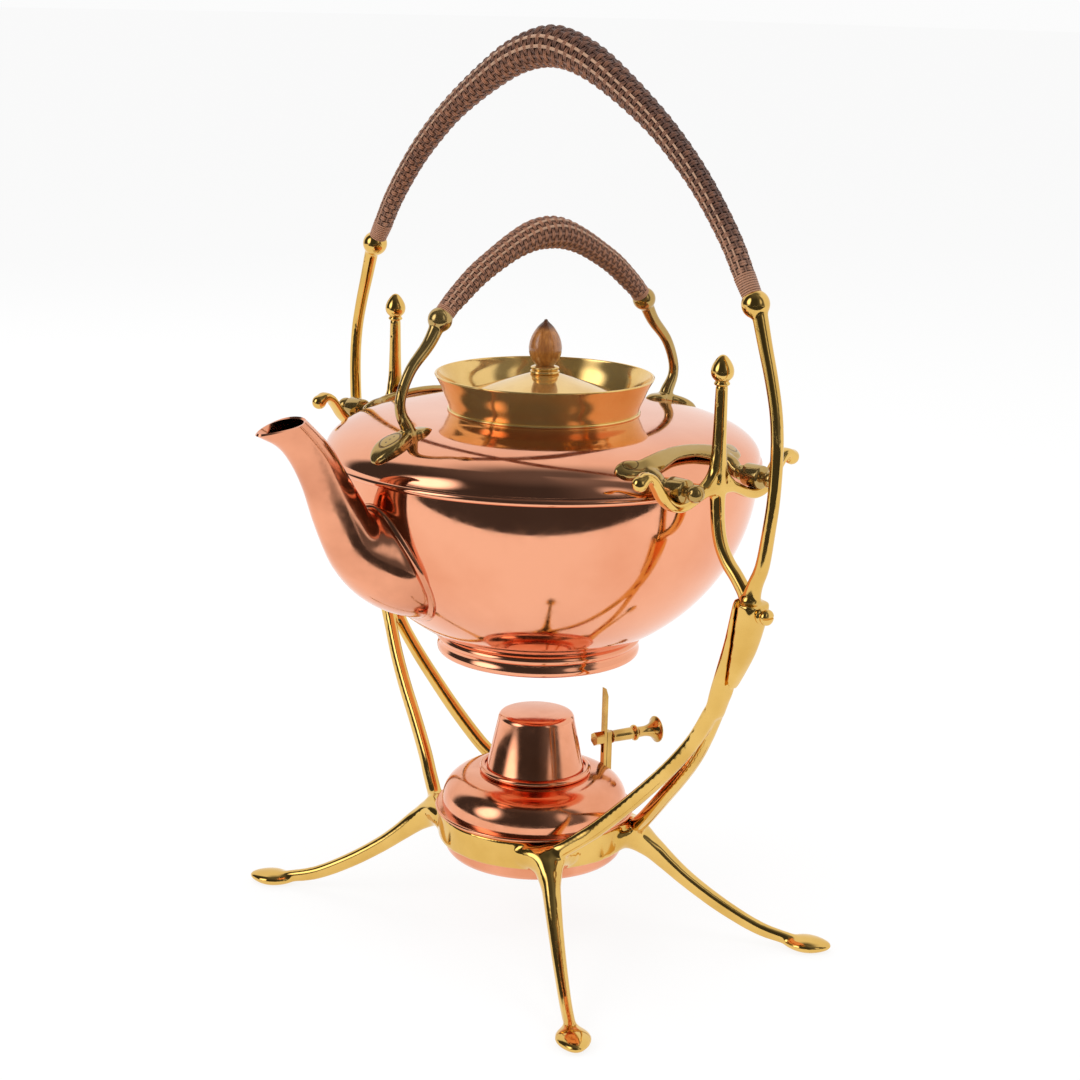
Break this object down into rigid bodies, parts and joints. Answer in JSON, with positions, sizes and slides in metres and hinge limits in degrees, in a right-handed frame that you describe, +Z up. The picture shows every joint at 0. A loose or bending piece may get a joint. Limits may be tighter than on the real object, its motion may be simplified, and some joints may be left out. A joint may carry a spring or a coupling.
{
  "type": "spirit kettle on stand",
  "caption": "Round copper kettle with lift-off lid and cane grip that tips on side pins in a four-legged brass stand with arched carrying handle, over a spirit burner with snuffer and wick regulator",
  "frame": {"origin": "centre of the overall bounding box in plan, at the level of the table under the four foot pads", "axes": "+Z up; -X towards the spout; the tipping axis and both cradle arms lie along Y; the carrying handle stands in the plane of Y and Z"},
  "size_m": [0.2343, 0.2644, 0.3818],
  "materials": {
    "stand_brass": "polished cast brass, slightly toned",
    "handle_rod": "plain iron rod",
    "cane": "wound and woven cane, satin varnish",
    "kettle_copper": "mirror-polished copper",
    "kettle_brass": "polished brass",
    "horn_wood": "polished, with a darker tip",
    "burner_copper": "polished copper",
    "burner_brass": "turned brass, toned",
    "cotton": "woven cotton wick"
  },
  "bodies": {
    "stand": {"burner_ring": "stand_brass", "leg_front_left": "stand_brass", "leg_front_right": "stand_brass", "leg_back_left": "stand_brass", "leg_back_right": "stand_brass", "side_frame_left": "stand_brass", "side_frame_right": "stand_brass", "bow_left": "stand_brass", "bow_right": "stand_brass", "cradle_arm_left": "stand_brass", "cradle_arm_right": "stand_brass", "post_finials": "stand_brass", "head_screws": "stand_brass", "carrying_handle_core": "handle_rod", "carrying_handle_wrap": "cane"},
    "kettle": {"kettle_bowl": "kettle_copper", "kettle_shoulder": "kettle_copper", "kettle_foot": "kettle_copper", "spout": "kettle_copper", "collar": "kettle_brass", "grip_arm_front": "kettle_brass", "grip_arm_back": "kettle_brass", "kettle_grip_core": "handle_rod", "kettle_grip_wrap": "cane", "side_bracket_left": "kettle_brass", "side_bracket_right": "kettle_brass", "tipping_pins": "kettle_brass", "resting_pins": "kettle_brass"},
    "lid": {"lid": "kettle_brass", "lid_skirt": "kettle_brass", "knob_seat": "kettle_brass", "knob": "horn_wood", "knob_screw": "handle_rod", "knob_nut": "kettle_brass"},
    "burner": {"burner_base": "burner_copper", "burner_dome": "burner_copper", "burner_neck": "burner_copper", "regulator_post": "burner_brass", "regulator_nut": "burner_brass"},
    "snuffer": {"snuffer": "burner_copper"},
    "wick": {"wick": "cotton", "wick_carrier": "burner_brass", "regulator_blade": "burner_brass"},
    "thumb_screw": {"thumb_screw": "burner_brass"}
  },
  "joints": [
    {"name": "kettle_tilt", "type": "hinge", "parent": "stand", "child": "kettle", "pos_m": [0.0045, 0, 0.2136], "axis": [0, -1, 0], "range_deg": [0, 44]},
    {"name": "lid_lift", "type": "slide", "parent": "kettle", "child": "lid", "axis": [0, 0, 1], "range_m": [0, 0.024]},
    {"name": "burner_lift", "type": "slide", "parent": "stand", "child": "burner", "axis": [0, 0, 1], "range_m": [0, 0.01]},
    {"name": "snuffer_lift", "type": "slide", "parent": "burner", "child": "snuffer", "axis": [0, 0, 1], "range_m": [0, 0.012]},
    {"name": "wick_raise", "type": "slide", "parent": "burner", "child": "wick", "axis": [0, 0, 1], "range_m": [0, 0.006]},
    {"name": "clamp_turn", "type": "hinge", "parent": "burner", "child": "thumb_screw", "pos_m": [0.06837, -0.0099, 0.0773], "axis": [0.9744, -0.225, 0], "range_deg": [0, 360]}
  ]
}
